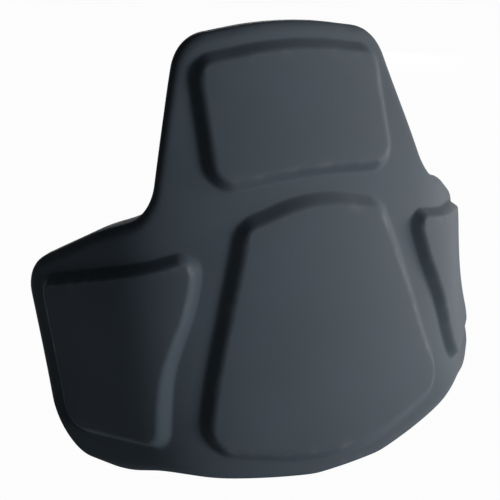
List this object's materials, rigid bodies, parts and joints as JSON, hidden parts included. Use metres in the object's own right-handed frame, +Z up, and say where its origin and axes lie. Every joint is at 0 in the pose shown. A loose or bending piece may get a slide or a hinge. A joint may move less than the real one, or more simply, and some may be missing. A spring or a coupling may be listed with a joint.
{
  "type": "boxing belly pad",
  "caption": "Moulded foam body shield with raised chest, belly and side blocks, worn on a waist belt with a side-release buckle and adjustable shoulder straps.",
  "frame": {"origin": "middle of the bounding box's base, on the surface that the pad stands on", "axes": "+X to the right across the pad as seen from its front, -Y out of its front, +Y towards the wearer, +Z up"},
  "size_m": [0.6014, 0.2572, 0.45],
  "materials": {
    "cover": "matte grained synthetic leather",
    "foam": "closed-cell foam",
    "lining": "woven lining",
    "binding": "ribbed edge tape",
    "mesh": "air mesh",
    "webbing": "woven webbing",
    "plastic": "fine moulded texture",
    "rivet": "dull nickel plate"
  },
  "bodies": {
    "shield": {"front_skin": "cover", "foam_core": "foam", "foam_backing": "foam", "back_liner": "lining", "edge_binding": "binding", "chest_block": "cover", "belly_block": "cover", "left_side_block": "cover", "right_side_block": "cover", "chest_comfort_pad": "mesh", "belly_comfort_pad": "mesh", "left_side_comfort_pad": "mesh", "right_side_comfort_pad": "mesh", "left_belt": "webbing", "right_belt": "webbing", "buckle_socket": "plastic", "belt_keeper": "webbing", "left_shoulder_strap": "webbing", "right_shoulder_strap": "webbing", "left_belt_patch": "cover", "left_belt_patch_rivet_1": "rivet", "left_belt_patch_rivet_2": "rivet", "left_strap_patch": "cover", "left_strap_patch_rivet_1": "rivet", "left_strap_patch_rivet_2": "rivet", "right_belt_patch": "cover", "right_belt_patch_rivet_1": "rivet", "right_belt_patch_rivet_2": "rivet", "right_strap_patch": "cover", "right_strap_patch_rivet_1": "rivet", "right_strap_patch_rivet_2": "rivet"},
    "plug": {"buckle_plug": "plastic"},
    "prong_upper": {"buckle_prong_upper": "plastic"},
    "prong_lower": {"buckle_prong_lower": "plastic"},
    "belt_adjuster": {"belt_slider": "plastic"},
    "left_strap_adjuster": {"left_strap_slider": "plastic"},
    "right_strap_adjuster": {"right_strap_slider": "plastic"}
  },
  "joints": [
    {"name": "buckle_release", "type": "slide", "parent": "shield", "child": "plug", "axis": [1, 0, 0], "range_m": [0, 0.034], "deforming": ["right_belt"]},
    {"name": "prong_upper_flex", "type": "hinge", "parent": "plug", "child": "prong_upper", "pos_m": [0.0124, 0.0733, 0.12638], "axis": [0, -0.9514, 0.3079], "range_deg": [0, 5], "stiffness_Nm_per_rad": 0.2},
    {"name": "prong_lower_flex", "type": "hinge", "parent": "plug", "child": "prong_lower", "pos_m": [0.0124, 0.06375, 0.09688], "axis": [0, 0.9514, -0.3079], "range_deg": [0, 5], "stiffness_Nm_per_rad": 0.2},
    {"name": "belt_slider_slide", "type": "slide", "parent": "shield", "child": "belt_adjuster", "axis": [-1, 0, 0], "range_m": [-0.006, 0.04]},
    {"name": "left_strap_slider_slide", "type": "slide", "parent": "shield", "child": "left_strap_adjuster", "axis": [0, -0.0047, 1], "range_m": [-0.03, 0.06]},
    {"name": "right_strap_slider_slide", "type": "slide", "parent": "shield", "child": "right_strap_adjuster", "axis": [0, -0.0047, 1], "range_m": [-0.03, 0.06]}
  ]
}
